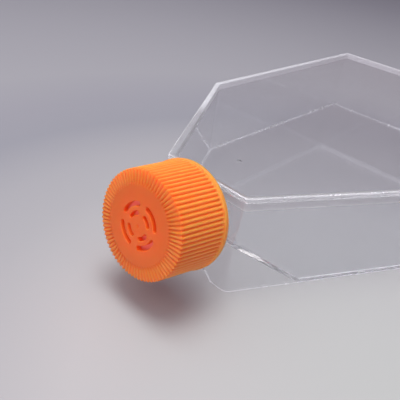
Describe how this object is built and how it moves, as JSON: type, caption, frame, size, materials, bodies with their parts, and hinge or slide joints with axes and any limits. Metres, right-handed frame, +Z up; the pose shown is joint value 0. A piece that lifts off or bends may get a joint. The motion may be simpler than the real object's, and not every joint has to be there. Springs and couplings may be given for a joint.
{
  "type": "cell culture flask",
  "caption": "Flat clear cell culture flask with sloped shoulders, a ramp to a canted threaded neck, a welded top plate and a ribbed screw cap vented over a membrane.",
  "frame": {"origin": "middle of the whole flask's box, on its underside", "axes": "+Z up, +Y from the cap to the rear, +X to the right seen from the cap"},
  "size_m": [0.115, 0.233, 0.0451],
  "materials": {
    "clear_styrene": "clear, polished",
    "orange_cap": "satin moulded polyolefin",
    "natural_seal": "soft, slightly waxy",
    "white_membrane": "matt, porous"
  },
  "bodies": {
    "flask": {"flask_body": "clear_styrene", "top_plate": "clear_styrene"},
    "insert": {"seal_insert": "natural_seal", "vent_membrane": "white_membrane"},
    "cap": {"cap_shell": "orange_cap"}
  },
  "joints": [
    {"name": "cap_lift", "type": "slide", "parent": "flask", "child": "insert", "axis": [0, -0.9816, 0.1908], "range_m": [0, 0.005]},
    {"name": "cap_turn", "type": "hinge", "parent": "insert", "child": "cap", "pos_m": [0, -0.08701, 0.0238], "axis": [0, -0.9816, 0.1908], "range_deg": [0, 450]}
  ],
  "couplings": [
    {"joint": "cap_turn", "follows": "cap_lift", "rad_per_m": 1570.8}
  ]
}
